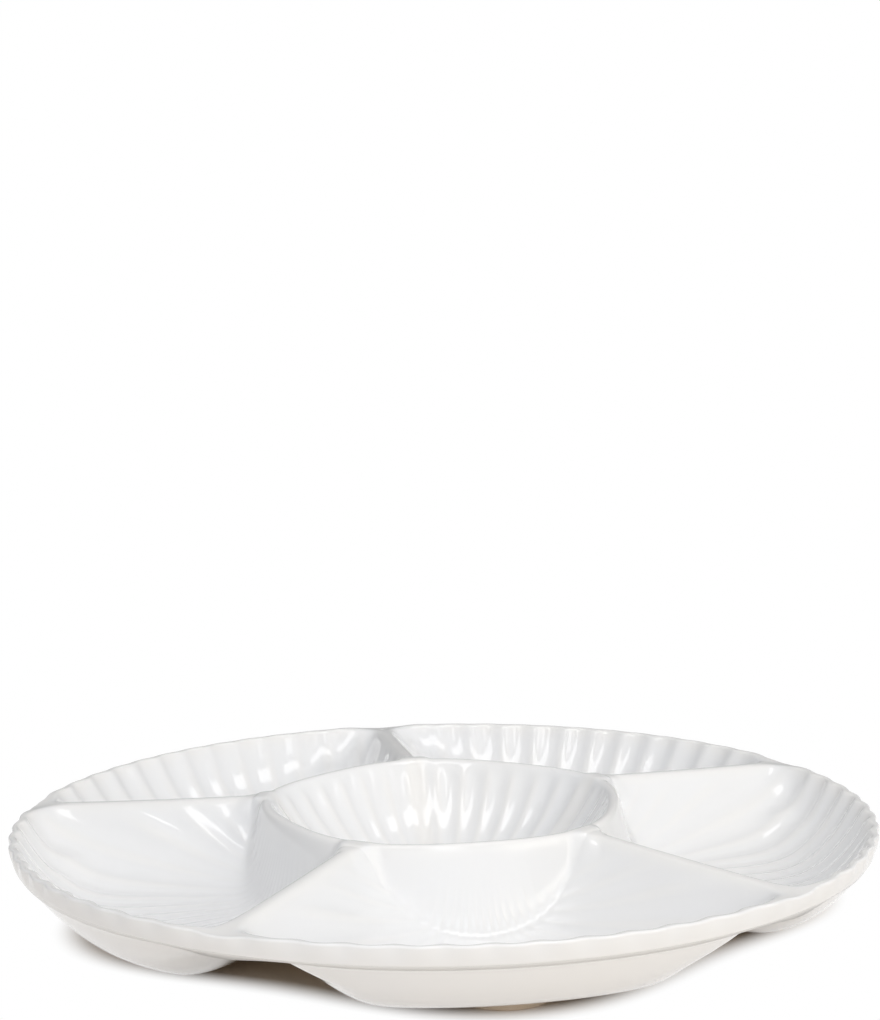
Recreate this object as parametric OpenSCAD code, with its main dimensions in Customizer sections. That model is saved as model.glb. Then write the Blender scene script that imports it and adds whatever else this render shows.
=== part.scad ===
// Round serving tray in glazed stoneware: five fluted shell-shaped chip wells around a fluted dip bowl.
// The origin is on the table under the middle of the dip bowl, and the first well opens towards -Y.

/* [Tray] */
// Diameter across the outer rim
tray_d = 380; // [320:1:440]
// Height of the outer rim above the table
rim_h = 41; // [36:0.5:56]
// Number of chip wells around the dip bowl
well_count = 5; // [4:1:6]
// Thickness of the clay in the floors
floor_t = 6; // [4:0.5:9]
// How much wider each hollow is on the underside than inside
wall_t = 5; // [4:0.5:8]

/* [Dip bowl] */
// Diameter of the crest of the bowl's rim
bowl_d = 161; // [130:1:180]
// How far the bowl's rim stands above the outer rim
bowl_rise = 6; // [2:0.5:12]
// Distance over which the bowl's wall curves down to its floor
bowl_wall_w = 55; // [40:1:64]
// Number of flutes around the inside of the bowl
bowl_flutes = 35; // [20:1:45]

/* [Wells] */
// Distance over which a well's outer wall curves down to its floor
outer_wall_w = 62; // [40:1:75]
// Distance over which a divider's flank curves down to the floor
flank_w = 80; // [50:1:90]
// Distance over which the wall behind the dip bowl curves down to the floor
inner_wall_w = 28; // [22:1:40]
// Flutes of one well that reach the outer rim
rim_flutes = 13; // [9:2:19]
// Depth of a flute at the outer rim
flute_depth = 2.2; // [0.8:0.1:3.5]
// How far inside the bowl's rim the flutes of a well would meet
fan_inset = 12; // [8:0.5:20]

/* [Ridges and rim] */
// Width of the rounded crest on the dividers and the bowl's rim
crest_w = 5; // [3:0.5:8]
// Thickness of the clay under a crest
crest_t = 4; // [3:0.5:7]
// Width of the outer rim's lip
lip_w = 4; // [3:0.5:7]
// Height of the smooth band around the outside of the rim
band_h = 9; // [6:0.5:14]
// How far the wells' outer walls stand back under the band
band_step = 3; // [1:0.5:3]
// Waviness of the rim's outer edge
rim_wave = 0.5; // [0:0.1:1.5]

/* [Feet] */
// Diameter of each bare clay foot
foot_d = 38; // [20:1:40]
// Thickness of each foot
foot_h = 1.5; // [1:0.25:4]
// Distance from the tray's centre to the middle of each foot
foot_r = 128; // [110:1:140]

/* [Fineness] */
// Columns of facets in one flute
flute_steps = 3; // [2:1:4]
// Rows of facets along the inside of a well
well_rows = 10; // [6:1:16]
// Rows of facets on the underside of a well
under_rows = 7; // [5:1:12]
// Rows of facets from the bowl's middle to its rim
bowl_rows = 8; // [5:1:14]

/* [Hidden] */
rim_r = tray_d / 2;
bowl_r = bowl_d / 2;
sector = 360 / well_count;
half = sector / 2;
pole_r = bowl_r - fan_inset;
half_crest = crest_w / 2;
inner_r = bowl_r + half_crest;
lip_r = rim_r - lip_w;
floor_z = foot_h + floor_t;

// Shape of the walls: higher powers make steeper walls and flatter floors
outer_power = 3.3;
flank_power = 3;
inner_power = 4.5;
bowl_power = 2.5;
ridge_power = 1.3;
// Roundness of the wells' outer corners: 1 cuts them the most. They tighten towards the crests, above and below,
// over this share of the way across a wall
corner_power = 1.2;
tip_power = 3.2;
under_tip_power = 2.2;
tip_share = 0.3;
// Roundness of the corners in a well's outline: higher powers make them tighter
outline_power = 12;
// Smoothing lengths at the crests, above and below, and of the crease behind the dip bowl
crest_blend = 1;
under_blend = 3;
crease_blend = 0.15;
// What the blend leaves of two full depths
full_blend = 1 - crease_blend / 4;
// The round undersides are pressed flat by this much where they stand
flat_press = 1;
// Stretch beside the outer rim over which the clay thickens to the band
band_blend = 25;
// Distances over which the flutes fade in beside a divider and beside the bowl's rim
flank_fade = 14;
rim_fade = 5;
// The flutes end on the outer lip with this share of their depth, and gain the rest over lip_fade
lip_share = 0.5;
lip_fade = 8;
// Shares of the lip's width at which its level top ends, its shoulder turns and its face starts
lip_top = 0.6;
lip_shoulder = 0.15;
lip_face = 0.5;
// Share of the band's step by which the band leans in at its foot
band_lean = 0.3;
// Layer of slip that joins the dip bowl to the members around it
slip_t = 0.1;
// Step for measuring slopes
probe = 0.25;

// Directions of the fan: the divider's end on the rim, one flute, and the well's inner corner
end_psi = atan2(rim_r * sin(half), rim_r * cos(half) - pole_r);
flute_psi = 2 * end_psi / rim_flutes;
step_psi = flute_psi / flute_steps;
corner_theta = half - asin(half_crest / inner_r);
corner_psi = atan2(inner_r * sin(corner_theta), inner_r * cos(corner_theta) - pole_r);
fan_last = floor(corner_psi / step_psi - 0.3);
neck_last = min(fan_last - 1, ceil(end_psi / step_psi));
rim_reach = lip_r - pole_r;
// Shares of the way across a divider at which its crest is drawn
crest_shares = [0.25, 0.5, 0.75];
// Angle at which the rim's outer columns start to close up towards a divider, and half their gap there
close_theta = half - 6;
end_gap = 0.6;

glaze = [0.95, 0.94, 0.91];
bare_clay = [0.80, 0.70, 0.57];

function well_name(k) = str("chip_well_", k);
function divider_name(k) = str("divider_", k);
function foot_name(k) = str("foot_pad_", k);
numbers = [1 : well_count];

// Direction of a well's axis, and of the divider that follows it
function well_turn(k) = -90 + (k - 1) * sector;
function divider_turn(k) = well_turn(k) + half;

// Smooth positive part, limits, blends, smooth minimum and the share of depth at distance d from a wall
function soft(d, blend) = blend * ln(1 + exp(d / blend));
function clamp(v) = max(0, min(1, v));
function mix(a, b, share) = a + (b - a) * share;
function ease(v) = let (share = clamp(v)) share * share * (3 - 2 * share);
function smooth_min(a, b, blend) =
    let (share = clamp(0.5 + (b - a) / (2 * blend)))
    mix(b, a, share) - blend * share * (1 - share);
function hollow(d, width, power) = 1 - pow(1 - min(1, d / width), power);

// Level of the crests: it falls from the bowl's rim to the outer rim
function crest_z(r) = rim_h + bowl_rise * pow(clamp((rim_r - r) / (rim_r - bowl_r)), ridge_power);

// Distance from the middle line of the nearest divider, in a frame with the well's axis along +X
function flank_distance(x, y) = x * sin(half) - abs(y) * cos(half);

// Share of full depth at a point of a well; grow widens the hollow for the underside
function well_share(x, y, setback, grow, blend, tip) =
    let (
        r = norm([x, y]),
        out = 1 - min(1, soft(rim_r - r - setback, blend) / outer_wall_w),
        side = 1 - min(1, soft(flank_distance(x, y) - half_crest + grow, blend) / flank_w),
        near_crest = ease((max(out, side) - 1 + tip_share) / tip_share),
        tightness = mix(corner_power, tip, near_crest),
        corners = pow(out, outer_power * tightness) + pow(side, flank_power * tightness),
        bowl_side = hollow(soft(r - inner_r + grow, blend), inner_wall_w, inner_power)
    )
    clamp(smooth_min(bowl_side, 1 - pow(min(1, corners), 1 / tightness), crease_blend) / full_blend);

function bowl_share(r, grow, blend) =
    hollow(soft(bowl_r - half_crest - r + grow, blend), bowl_wall_w, bowl_power);

// Height of the upper side without flutes
function top_z(x, y) =
    let (r = norm([x, y]), crest = crest_z(r))
    min(
        mix(crest, floor_z, well_share(x, y, lip_w, 0, crest_blend, tip_power)),
        mix(crest, floor_z, bowl_share(r, 0, crest_blend))
    );

// Height of the underside
function under_z(x, y) =
    let (
        r = norm([x, y]),
        near_rim = clamp((r - rim_r + band_blend) / (band_blend - band_step)),
        edge = crest_z(r) - mix(crest_t, band_h, near_rim),
        base = foot_h - flat_press
    )
    max(foot_h, min(
        mix(edge, base, well_share(x, y, band_step, wall_t, under_blend, under_tip_power)),
        mix(edge, base, bowl_share(r, wall_t, under_blend))
    ));

// Unit normal of the upper side
function top_normal(x, y) =
    let (
        slope_x = (top_z(x + probe, y) - top_z(x - probe, y)) / (2 * probe),
        slope_y = (top_z(x, y + probe) - top_z(x, y - probe)) / (2 * probe),
        n = [-slope_x, -slope_y, 1]
    )
    n / norm(n);

// Rise of the flutes from the mean surface: their depth grows with the distance from the fan's pole
function well_flute(x, y) =
    let (
        psi = atan2(y, x - pole_r),
        reach = norm([x - pole_r, y]),
        beside_flank = clamp((flank_distance(x, y) - half_crest) / flank_fade),
        beside_bowl = clamp((norm([x, y]) - inner_r) / rim_fade),
        beside_lip = mix(lip_share, 1, clamp((lip_r - norm([x, y])) / lip_fade)),
        depth = flute_depth * reach / rim_reach
    )
    depth / 2 * cos(360 * psi / flute_psi) * beside_flank * beside_bowl * beside_lip;

function bowl_flute(r, theta) =
    flute_depth / 2 * r / bowl_r * cos(bowl_flutes * theta) * clamp((bowl_r - half_crest - r) / rim_fade);

function well_top(p) = [p.x, p.y, top_z(p.x, p.y)] + well_flute(p.x, p.y) * top_normal(p.x, p.y);
function well_under(p) = [p.x, p.y, under_z(p.x, p.y)];

// Distances from the fan's pole along the direction psi to a circle and to a divider's edge
function to_circle(psi, r) = -pole_r * cos(psi) + sqrt(r * r - pow(pole_r * sin(psi), 2));
function to_divider(psi) = abs(psi) <= half ? 10 * rim_r
    : (pole_r * sin(half) - half_crest) / sin(abs(psi) - half);

// A well's outline runs along the rim and the dividers, with its outer corners rounded
function outline_reach(psi) =
    pow(pow(to_circle(psi, lip_r), -outline_power) + pow(to_divider(psi), -outline_power), -1 / outline_power);
function fan_point(psi, reach) = [pole_r + reach * cos(psi), reach * sin(psi)];
function outline(i) = fan_point(i * step_psi, outline_reach(i * step_psi));
function corner(side) = inner_r * [cos(corner_theta), side * sin(corner_theta)];
function fan_row(i, share) =
    let (psi = i * step_psi)
    fan_point(psi, mix(to_circle(psi, inner_r), outline_reach(psi), share));

// Rows lie closer together near both ends
function spread(j, rows) = 0.5 - 0.5 * cos(180 * j / rows);

// Two triangles of a patch, without those that a tip has closed up
function patch(a, b, c, d) = [
    for (t = [[a, b, c], [a, c, d]])
        if (t[0] != t[1] && t[1] != t[2] && t[0] != t[2]) t
];
function joined(lists) = [for (one = lists) for (item = one) item];

// One shell-shaped well, with its axis along +X: an upper and an under sheet that meet at two tips
module shell() {
    columns = [-fan_last : fan_last];
    count = 2 * fan_last + 1;
    upper = concat(
        [for (i = columns) for (j = [0 : well_rows]) well_top(fan_row(i, spread(j, well_rows)))],
        [for (side = [-1, 1]) well_top(corner(side))]
    );
    under = concat(
        [for (i = columns) for (j = [0 : under_rows]) well_under(fan_row(i, spread(j, under_rows)))],
        [for (side = [-1, 1]) well_under(corner(side))]
    );
    base = len(upper);
    function sheet(i, j, rows) = let (tips = count * (rows + 1))
        i < 0 ? tips : i >= count ? tips + 1 : i * (rows + 1) + j;
    function up(i, j) = sheet(i, j, well_rows);
    function down(i, j) = base + sheet(i, j, under_rows);
    faces = joined([
        for (i = [-1 : count - 1]) joined([
            joined([for (j = [0 : well_rows - 1]) patch(up(i, j), up(i + 1, j), up(i + 1, j + 1), up(i, j + 1))]),
            joined([for (j = [0 : under_rows - 1])
                patch(down(i, j + 1), down(i + 1, j + 1), down(i + 1, j), down(i, j))]),
            patch(up(i, well_rows), up(i + 1, well_rows), down(i + 1, under_rows), down(i, under_rows)),
            patch(up(i + 1, 0), up(i, 0), down(i, 0), down(i + 1, 0))
        ])
    ]);
    polyhedron(concat(upper, under), faces, convexity = 8);
}

// Points across a divider that lies along +X, at station i of the outlines on its two sides
function turned(p, angle) = [p.x * cos(angle) - p.y * sin(angle), p.x * sin(angle) + p.y * cos(angle)];
function station_edge(i) = turned(i > fan_last ? corner(1) : outline(i), -half);
function across(i, share) =
    let (edge = station_edge(i))
    [edge.x, mix(edge.y, -edge.y, share)];
function beside_divider(p) = turned([p.x, -abs(p.y)], half);
function ridge_top(p) = let (q = beside_divider(p)) [p.x, p.y, top_z(q.x, q.y)];
function ridge_under(p) = let (q = beside_divider(p)) [p.x, p.y, under_z(q.x, q.y)];

// Side faces of a bar or a ring whose cross-sections have the same number of points
function skin(sections, count, wrap) = joined([
    for (i = [0 : sections - (wrap ? 1 : 2)]) let (next = (i + 1) % sections)
        joined([
            for (k = [0 : count - 1]) let (k2 = (k + 1) % count)
                patch(i * count + k, next * count + k, next * count + k2, i * count + k2)
        ])
]);

// One divider ridge along +X, from the outer rim's neck to the bowl's rim
module ridge() {
    shares = concat([0], crest_shares, [1]);
    sides = len(shares);
    count = 2 * sides;
    sections = fan_last + 2 - neck_last;
    points = joined([
        for (i = [neck_last : fan_last + 1]) concat(
            [for (s = shares) ridge_top(across(i, s))],
            [for (k = [1 : sides]) ridge_under(across(i, shares[sides - k]))]
        )
    ]);
    last = (sections - 1) * count;
    function rung(k) = patch(k, k + 1, count - 2 - k, count - 1 - k);
    function turned_over(t, start) = [start + t[2], start + t[1], start + t[0]];
    caps = joined([for (k = [0 : sides - 2]) concat(rung(k), [for (t = rung(k)) turned_over(t, last)])]);
    polyhedron(points, concat(skin(sections, count, false), caps), convexity = 4);
}

// Direction from the tray's centre in which column i of a well meets the rim's outer edge
function ray_theta(i) = let (p = fan_point(i * step_psi, to_circle(i * step_psi, rim_r))) atan2(p.y, p.x);
function edge_theta(i) =
    let (
        theta = ray_theta(abs(i)),
        share = (theta - close_theta) / (ray_theta(neck_last) - close_theta)
    )
    sign(i) * (theta <= close_theta ? theta : mix(close_theta, half - end_gap, share));
function edge_wave(i) = -rim_wave * cos(360 * i / flute_steps);

// Cross-section of the rim: from the well's edge over the lip, down the band and back under it
function rim_section(top, under, theta, edge_r) =
    let (
        out = [cos(theta), sin(theta)],
        lip = edge_r * out,
        inward = [top.x, top.y] - lip,
        along = inward / norm(inward)
    )
    [
        top,
        concat(lip + along * lip_w * lip_top, rim_h),
        concat(lip + along * lip_w * lip_shoulder, rim_h - lip_w * lip_shoulder),
        concat(lip, rim_h - lip_w * lip_face),
        concat(lip - out * band_step * band_lean, rim_h - band_h),
        concat(out * (rim_r - band_step), rim_h - band_h),
        under
    ];

function turned_up(p, angle) = concat(turned(p, angle), p.z);
function rim_sector() = concat(
    [
        for (i = [-neck_last : neck_last])
            rim_section(well_top(outline(i)), well_under(outline(i)), edge_theta(i), rim_r + edge_wave(i))
    ],
    [
        for (s = crest_shares) let (p = across(neck_last, s))
            rim_section(
                turned_up(ridge_top(p), half), turned_up(ridge_under(p), half),
                half + end_gap * (2 * s - 1), rim_r
            )
    ]
);

module dip_bowl() {
    columns = bowl_flutes * flute_steps;
    edge_r = inner_r - slip_t;
    function row_r(j, rows) = edge_r * sin(90 * j / rows);
    function upper(j, c) =
        let (
            r = row_r(j, bowl_rows),
            theta = 360 * c / columns,
            n = top_normal(r, 0),
            lift = bowl_flute(r, theta),
            reach = r + lift * n.x
        )
        [reach * cos(theta), reach * sin(theta), top_z(r, 0) + lift * n.z];
    function lower(j, c) =
        let (r = row_r(j, under_rows), theta = 360 * c / columns)
        [r * cos(theta), r * sin(theta), under_z(r, 0)];
    around = [0 : columns - 1];
    points = concat(
        [[0, 0, top_z(0, 0)], [0, 0, under_z(0, 0)]],
        [for (j = [1 : bowl_rows]) for (c = around) upper(j, c)],
        [for (j = [1 : under_rows]) for (c = around) lower(j, c)]
    );
    function up(j, c) = j == 0 ? 0 : 2 + (j - 1) * columns + c % columns;
    function down(j, c) = j == 0 ? 1 : 2 + (bowl_rows + j - 1) * columns + c % columns;
    faces = joined([
        for (c = around) joined([
            joined([for (j = [0 : bowl_rows - 1]) patch(up(j, c), up(j, c + 1), up(j + 1, c + 1), up(j + 1, c))]),
            joined([for (j = [0 : under_rows - 1])
                patch(down(j + 1, c), down(j + 1, c + 1), down(j, c + 1), down(j, c))]),
            patch(up(bowl_rows, c), up(bowl_rows, c + 1), down(under_rows, c + 1), down(under_rows, c))
        ])
    ]);
    color(glaze) polyhedron(points, faces, convexity = 8);
}

module outer_rim() {
    one = rim_sector();
    sections = [
        for (k = numbers) for (section = one) [for (p = section) turned_up(p, well_turn(k))]
    ];
    color(glaze) polyhedron(joined(sections), skin(len(sections), len(one[0]), true), convexity = 8);
}

module chip_well(k) {
    color(glaze) rotate(well_turn(k)) shell();
}

module divider(k) {
    color(glaze) rotate(divider_turn(k)) ridge();
}

module foot_pad(k) {
    color(bare_clay) rotate(well_turn(k)) translate([foot_r, 0, 0]) cylinder(d = foot_d, h = foot_h, $fn = 64);
}

dip_bowl();
outer_rim();
for (k = numbers) {
    chip_well(k);
    divider(k);
    foot_pad(k);
}
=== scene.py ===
"""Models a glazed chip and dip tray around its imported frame, and the studio that it stands in."""

import math
from collections import namedtuple

import bpy
import numpy as np
from mathutils import Matrix, Quaternion, Vector


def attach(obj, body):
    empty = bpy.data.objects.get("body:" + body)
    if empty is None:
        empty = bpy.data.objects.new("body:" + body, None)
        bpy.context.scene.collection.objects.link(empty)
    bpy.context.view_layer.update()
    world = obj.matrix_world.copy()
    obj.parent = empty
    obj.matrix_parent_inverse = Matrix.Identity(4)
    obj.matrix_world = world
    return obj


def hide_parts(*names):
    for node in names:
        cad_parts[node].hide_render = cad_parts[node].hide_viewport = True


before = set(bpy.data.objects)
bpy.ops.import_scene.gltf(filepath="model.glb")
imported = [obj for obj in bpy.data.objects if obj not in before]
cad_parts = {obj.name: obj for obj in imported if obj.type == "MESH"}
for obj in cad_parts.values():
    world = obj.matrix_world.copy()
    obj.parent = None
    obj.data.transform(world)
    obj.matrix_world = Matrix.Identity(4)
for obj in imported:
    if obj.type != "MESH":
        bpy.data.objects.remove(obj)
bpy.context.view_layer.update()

bl_info = {
    "name": "Chip and dip tray",
    "version": (1, 0, 0),
    "blender": (4, 5, 0),
    "location": "3D View > Sidebar > Tray",
    "description": "Models a fluted stoneware tray with chip wells set around a dip bowl",
    "category": "Add Mesh",
}

# Plan of the tray: the wells lie evenly around the middle, and the first one opens towards -Y
WELL_COUNT = sum(name.startswith("chip_well_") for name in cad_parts)
FIRST_TURN = -math.pi / 2
SECTOR = 2 * math.pi / WELL_COUNT
MM = 0.001

# Smoothing lengths and powers of one side of the clay; higher powers make steeper walls and tighter corners
Side = namedtuple("Side", "blend lip_blend meet outer_power corner_power tip_power")
UPPER_SIDE = Side(
    blend=1.0 * MM, lip_blend=0.5 * MM, meet=2.0 * MM, outer_power=3.3, corner_power=1.2, tip_power=3.2
)
UNDERSIDE = Side(
    blend=3.0 * MM, lip_blend=0.8 * MM, meet=3.0 * MM, outer_power=3.1, corner_power=0.95, tip_power=1.4
)

# Powers of the walls, crests and outlines that both sides share
FLANK_POWER = 3.0
INNER_POWER = 4.5
BOWL_POWER = 2.5
RIDGE_POWER = 1.3
OUTLINE_POWER = 12

# Corners of a well: share of the walls in which they turn to their tip's shape, and how lip and flank meet
TIP_SHARE = 0.3
TIP_MEET = 8

# Rounding of the dividers' crests, and of the creases in a well as shares of its depth
CREST_ROUND = 1.5 * MM
CREASE_BLEND = 0.25
FULL_BLEND = 1 - CREASE_BLEND / 4
SHARE_BLEND = 0.03

# Fillets where a divider runs into the bowl's rim, and the reach of the rim's five-sided outline
WEB_SHARE = 0.25
WEB_REACH = 14 * MM
PINCH_REACH = 38 * MM

# Underside: its flat spots, its rise beyond the feet and its way up to the band
FLAT_PRESS = 1.0 * MM
FOOT_SET = 2.0 * MM
FOOT_SLOPE = 0.37
FOOT_BLEND = 2.0 * MM
BAND_BLEND = 25 * MM

# Lengths over which the flutes fade beside the dividers, at the fan's pole, at the bowl's rim and on the lip
FLANK_FADE = 10 * MM
POLE_CLEAR = 8 * MM
POLE_FADE = 85 * MM
BOWL_FADE = 6 * MM
LIP_FADE = 12 * MM
CORNER_W = 8 * MM
CORNER_FADE = 24 * MM

# Flutes: the depth that is left at the pole, the depth in the bowl, and how pointed the ridges are
POLE_SHARE = 0.2
BOWL_FLUTE_SHARE = 0.75
FLUTE_POINT = 0.08

# Outer rim: rounding under the band, and how its columns gather at the narrow end of a divider
BAND_ROUND = 1.3 * MM
NECK_PART = 6
NECK_TURN = math.radians(0.6)
GATHER_TURN = math.radians(6)

# Feet: rounding, ring and dish of the underside, and the angle up to which edges look smooth
FOOT_ROUND = 0.5 * MM
FOOT_RING_W = 4 * MM
FOOT_DISH = 0.25 * MM
FOOT_SMOOTH = math.radians(35)

# Thinness of the glaze on crests and lips, on the flutes' ridges and on the outside
THIN_CREST = 0.55
THIN_RIDGE = 0.35
THIN_OUTSIDE = 0.2
THIN_REACH = 3 * MM

# Columns and rows of the meshes
RIM_COLUMNS = 120
RIDGE_COLUMNS = 84
WELL_ROWS = 100
UNDER_ROWS = 30
ACROSS = 12
BOWL_COLUMNS_PER_FLUTE = 14
BOWL_ROWS = 72
LAND_ROWS = 14
LIP_ROWS = 7
BAND_ROWS = 6
BAND_ROUND_ROWS = 4
RIM_UNDER_ROWS = 9
FOOT_SIDES = 96
FOOT_ROUND_ROWS = 4
QUAD_SIDES = 4
PROBE = 0.1 * MM
MERGE = 0.002 * MM
SMALL_ANGLE = 1e-6

# Noises of the glaze and the clay
Grain = namedtuple("Grain", "scale detail roughness")
GLAZE_CLOUD = Grain(11.0, 3.0, 0.5)
GLAZE_MOTTLE = Grain(160.0, 2.0, 0.6)
GLAZE_RIPPLE = Grain(55.0, 1.0, 0.4)
GLAZE_PEEL = Grain(420.0, 2.0, 0.5)
CLAY_GRAIN = Grain(900.0, 4.0, 0.65)
CLAY_STAIN = Grain(70.0, 3.0, 0.55)

# Glaze: how far it warms where it is thin and in clouds, and how much clay shows through at edges
WARM_THIN = 0.8
WARM_CLOUD = 0.9
CLOUD_LEVEL = 0.42
EDGE_POWER = 4.0
EDGE_MOTTLE = 1.2
EDGE_LEVEL = 0.3
EDGE_SHARE = 0.6

# Glaze: its ripple, its change of gloss and how strongly it reflects
PEEL_SHARE = 0.05
GLAZE_BUMP = {"Strength": 0.2, "Distance": 0.8 * MM}
GLAZE_UNEVEN = 0.03
GLAZE_IOR = 1.52

# Clay: how grain and stain darken it, its relief and its roughness
CLAY_GRAIN_SHARE = 0.7
CLAY_STAIN_SHARE = 0.5
CLAY_LEVEL = 0.3
CLAY_BUMP = {"Strength": 0.4, "Distance": 0.4 * MM}
CLAY_UNEVEN = 0.2
CLAY_ROUGHNESS = 0.75

# Colours of the light
WHITE = (1.0, 1.0, 1.0)
WARM_LIGHT = (1.0, 0.93, 0.80)
COOL_LIGHT = (0.97, 0.98, 1.0)

# Sockets of a Mix node that belong to colours
MIX_FACTOR = 0
MIX_FIRST = 6
MIX_SECOND = 7
MIX_RESULT = 2


def length(name, description, default):
    """A length that a user may change."""
    return bpy.props.FloatProperty(
        name=name, description=description, default=default, min=0, unit="LENGTH", precision=4
    )


def count(name, description, default):
    """A whole number that a user may change."""
    return bpy.props.IntProperty(name=name, description=description, default=default, min=1)


def share(name, description, default):
    """A share from 0 to 1 that a user may change."""
    return bpy.props.FloatProperty(
        name=name, description=description, default=default, min=0, max=1, subtype="FACTOR"
    )


def colour(name, description, default):
    """A colour that a user may change."""
    return bpy.props.FloatVectorProperty(
        name=name, description=description, default=default, min=0, max=1, size=3, subtype="COLOR"
    )


def power(name, description, default):
    """A light's strength that a user may change."""
    return bpy.props.FloatProperty(
        name=name, description=description, default=default, min=0, unit="POWER"
    )


class TraySizes(bpy.types.PropertyGroup):
    """Sizes of the tray."""

    tray_d: length("Tray diameter", "Across the outer rim", 0.380)
    rim_h: length("Rim height", "Outer rim above the table", 0.041)
    floor_t: length("Floor thickness", "Clay in the floors", 0.006)
    wall_t: length("Wall allowance", "How much wider a hollow is below than inside", 0.005)
    bowl_d: length("Bowl diameter", "Across the crest of the bowl's rim", 0.161)
    bowl_pinch: length("Bowl pinch", "How far the bowl's rim is drawn in between two dividers", 0.0040)
    bowl_rise: length("Bowl rise", "Bowl's rim above the outer rim", 0.006)
    bowl_wall_w: length("Bowl wall", "Distance over which the bowl's wall curves to its floor", 0.055)
    bowl_flutes: count("Bowl flutes", "Flutes around the inside of the bowl", 35)
    outer_wall_w: length("Outer wall", "Distance over which the outer wall curves to the floor", 0.062)
    flank_w: length("Flank", "Distance over which a divider's flank curves to the floor", 0.080)
    inner_wall_w: length("Inner wall", "Distance over which the wall behind the bowl curves down", 0.028)
    rim_flutes: count("Rim flutes", "Flutes of one well that reach the rim", 13)
    flute_depth: length("Flute depth", "Depth of a flute at the rim", 0.0015)
    fan_inset: length("Fan inset", "How far inside the bowl's rim a well's flutes would meet", 0.012)
    crest_w: length("Crest width", "Rounded crest of the dividers and the bowl's rim", 0.005)
    crest_t: length("Crest thickness", "Clay under a crest", 0.004)
    web_r: length("Web radius", "Fillet where a divider runs into the bowl's rim", 0.010)
    lip_w: length("Lip width", "Top of the outer rim", 0.0027)
    lip_wave: length("Lip wave", "Waviness of the lip's inner edge", 0.0018)
    lip_round: length("Lip rounding", "Rounding of the lip's outer edge", 0.0010)
    band_h: length("Band height", "Smooth band around the outside of the rim", 0.009)
    band_step: length("Band step", "How far the wells stand back under the band", 0.0024)
    band_lean: length("Band lean", "How far the band leans in at its foot", 0.0009)
    rim_wave: length("Rim wave", "Waviness of the rim's outer edge", 0.0005)
    end_dip: length("End dip", "How far the rim dips where a divider meets it", 0.0015)
    end_dip_w: length("End dip width", "Reach of that dip", 0.014)
    foot_d: length("Foot diameter", "Each bare clay foot", 0.038)
    foot_h: length("Foot height", "Each bare clay foot", 0.0015)
    foot_r: length("Foot place", "From the middle of the tray to the middle of a foot", 0.128)


class TrayFinish(bpy.types.PropertyGroup):
    """Colours and gloss of the glaze and the clay."""

    glaze_cool: colour("Glaze", "Glaze where it lies thick", (0.860, 0.862, 0.868))
    glaze_warm: colour("Warm glaze", "Glaze where it runs thin", (0.885, 0.868, 0.838))
    glaze_edge: colour("Glaze edge", "Clay that shows through at sharp edges", (0.800, 0.680, 0.540))
    glaze_roughness: share("Glaze roughness", "Mean roughness of the glaze", 0.045)
    clay: colour("Bare clay", "Unglazed clay of the feet", (0.880, 0.750, 0.600))
    clay_dark: colour("Clay grain", "Darker grain in the bare clay", (0.660, 0.500, 0.350))


class StageLight(bpy.types.PropertyGroup):
    """Light and floor of the studio."""

    key: power("Key light", "Long soft box over the tray", 3.5)
    front: power("Front light", "Wide, weak panel behind the camera", 4.1)
    strip: power("Strip light", "Tall, narrow panel between the key and the front light", 1.0)
    side: power("Side light", "Small panel far on the right", 0.35)
    right: power("Right light", "Wide, warm panel on the right", 2.8)
    ambient: share("Ambient light", "Light from all around", 0.54)
    slant: share("Slant", "How far the ambient light leans to the front right", 0.44)
    floor: colour("Floor", "Pale floor", (0.900, 0.850, 0.790))
    # Painted shadow: a darker, browner floor colour under and near the tray
    floor_painted_shadow: colour("Floor underneath", "Warmer floor under the tray", (0.660, 0.510, 0.360))


def soft(distance, blend):
    """Smooth positive part of a distance."""
    return blend * np.logaddexp(0, distance / blend)


def ease(value):
    """Rises smoothly from 0 to 1 as the value does."""
    part = np.clip(value, 0, 1)
    return part * part * (3 - 2 * part)


def smooth_min(first, second, blend):
    """The lesser of two values, rounded where they meet."""
    part = np.clip(0.5 + (second - first) / (2 * blend), 0, 1)
    return second + (first - second) * part - blend * part * (1 - part)


def hollow(distance, width, steepness):
    """Share of full depth at a distance from a wall's top."""
    return 1 - (1 - np.minimum(1, distance / width)) ** steepness


def spread(rows):
    """Shares from 0 to 1 that lie closer together at both ends."""
    return 0.5 - 0.5 * np.cos(np.linspace(0, math.pi, rows + 1))


def between(first, last, shares):
    """Plan points on the way from one line of points to another."""
    return first[:, None] + (last - first)[:, None] * shares[:, None]


def mirrored(half):
    """Values on both sides of an axis, from those on one side of it."""
    return np.concatenate([-half[:0:-1], half])


def flute_wave(phase):
    """One flute after another: broad scoops with narrower ridges."""
    return np.cos(phase) + FLUTE_POINT * np.cos(2 * phase)


def around_middle(theta, radius):
    """Plan points at an angle and a distance from the tray's middle."""
    return np.stack([radius * np.cos(theta), radius * np.sin(theta)], -1)


def turned(points, angle):
    """Plan points turned about the tray's middle."""
    x, y = points[..., 0], points[..., 1]
    c, s = math.cos(angle), math.sin(angle)
    return np.stack([x * c - y * s, x * s + y * c], -1)


def from_axis(theta):
    """Angle from the axis of the nearest well."""
    turn = theta - FIRST_TURN
    return turn - SECTOR * np.round(turn / SECTOR)


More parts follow.
